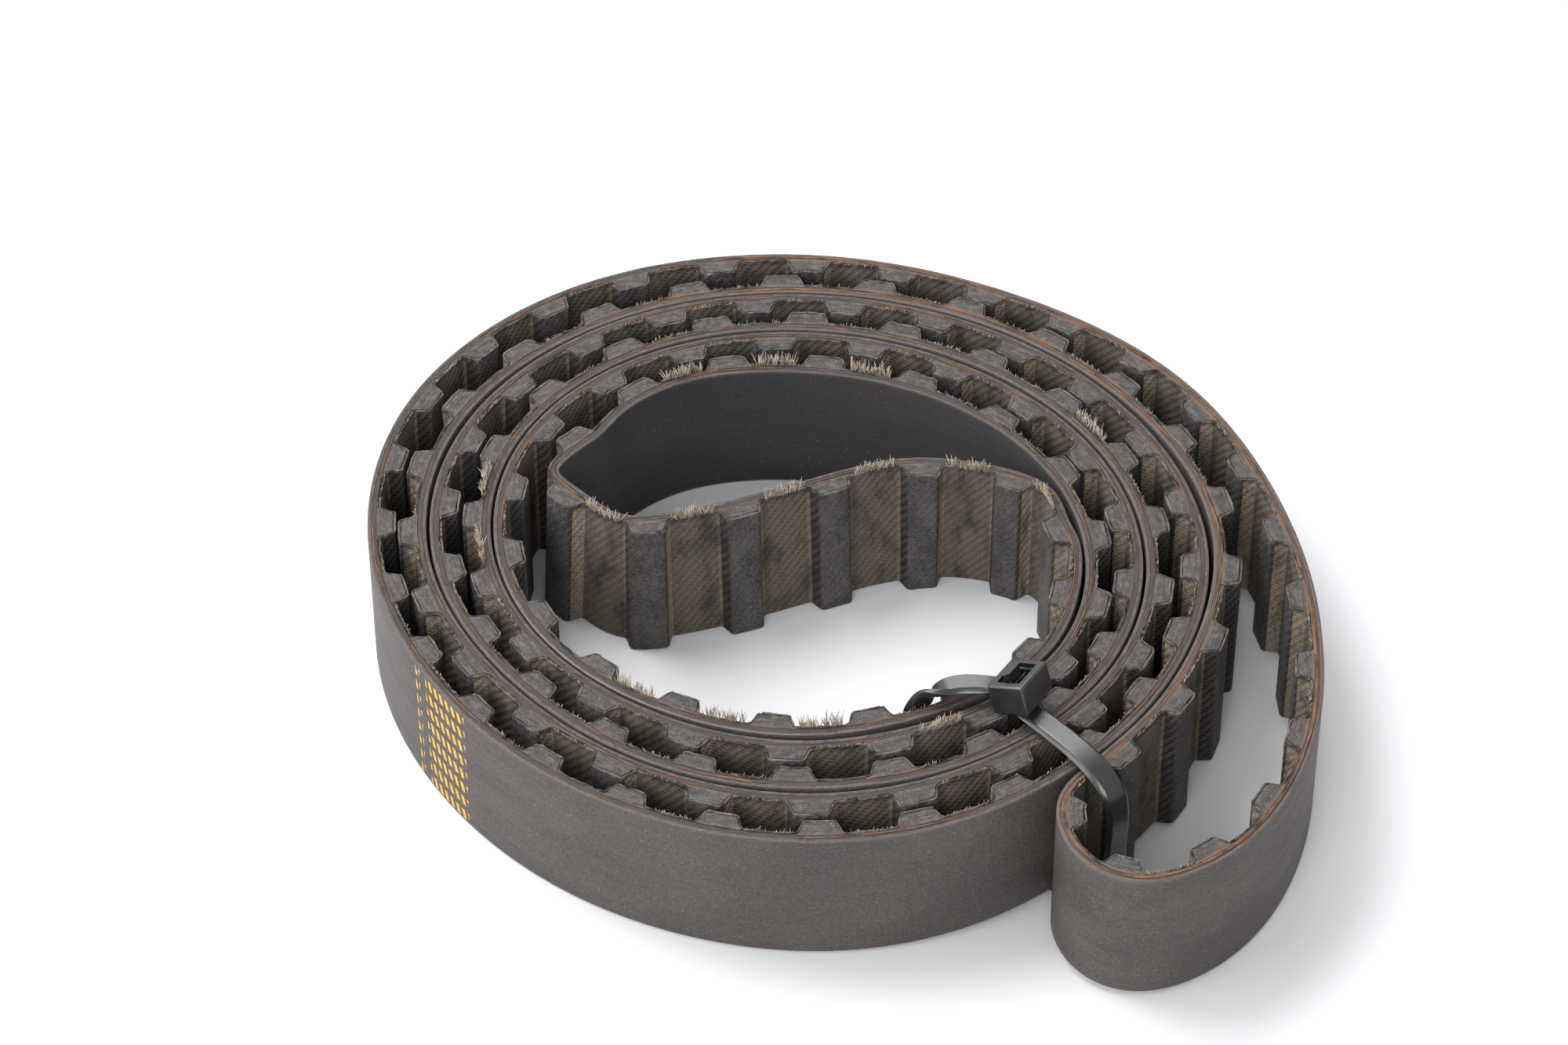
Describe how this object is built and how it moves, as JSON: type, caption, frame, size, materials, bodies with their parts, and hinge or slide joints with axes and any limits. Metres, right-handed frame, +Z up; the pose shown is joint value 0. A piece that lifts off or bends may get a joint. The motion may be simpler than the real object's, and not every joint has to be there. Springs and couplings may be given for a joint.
{
  "type": "coiled timing belt",
  "caption": "Endless synchronous timing belt with trapezoidal teeth, folded double and coiled on its edge, held by a small cable tie.",
  "frame": {"origin": "middle of the footprint, on the floor the belt's edge stands on", "axes": "+Z up along the belt's width; the teardrop fold points toward +X and -Y"},
  "size_m": [0.1232, 0.1186, 0.0278],
  "materials": {
    "backing_rubber": "worn matte",
    "tooth_rubber": "cut matte edge",
    "tension_cord": "fibrous",
    "nylon_fabric": "dusty twill",
    "tie_nylon": "satin"
  },
  "bodies": {
    "belt_and_tie": {"backing_span_01": "backing_rubber", "backing_span_02": "backing_rubber", "backing_span_03": "backing_rubber", "backing_span_04": "backing_rubber", "backing_span_05": "backing_rubber", "backing_span_06": "backing_rubber", "backing_span_07": "backing_rubber", "backing_span_08": "backing_rubber", "backing_span_09": "backing_rubber", "backing_span_10": "backing_rubber", "backing_span_11": "backing_rubber", "backing_span_12": "backing_rubber", "backing_span_13": "backing_rubber", "backing_span_14": "backing_rubber", "toothed_rubber_span_01": "tooth_rubber", "toothed_rubber_span_02": "tooth_rubber", "toothed_rubber_span_03": "tooth_rubber", "toothed_rubber_span_04": "tooth_rubber", "toothed_rubber_span_05": "tooth_rubber", "toothed_rubber_span_06": "tooth_rubber", "toothed_rubber_span_07": "tooth_rubber", "toothed_rubber_span_08": "tooth_rubber", "toothed_rubber_span_09": "tooth_rubber", "toothed_rubber_span_10": "tooth_rubber", "toothed_rubber_span_11": "tooth_rubber", "toothed_rubber_span_12": "tooth_rubber", "toothed_rubber_span_13": "tooth_rubber", "toothed_rubber_span_14": "tooth_rubber", "tension_cord_layer": "tension_cord", "nylon_facing": "nylon_fabric", "tie_strap": "tie_nylon", "tie_head": "tie_nylon"},
    "pawl": {"tie_pawl": "tie_nylon"}
  },
  "joints": [
    {"name": "pawl_release", "type": "hinge", "parent": "belt_and_tie", "child": "pawl", "pos_m": [0.0226, -0.03041, 0.02417], "axis": [0.498, 0.8574, -0.1297], "range_deg": [0, 14], "stiffness_Nm_per_rad": 0.0005}
  ]
}
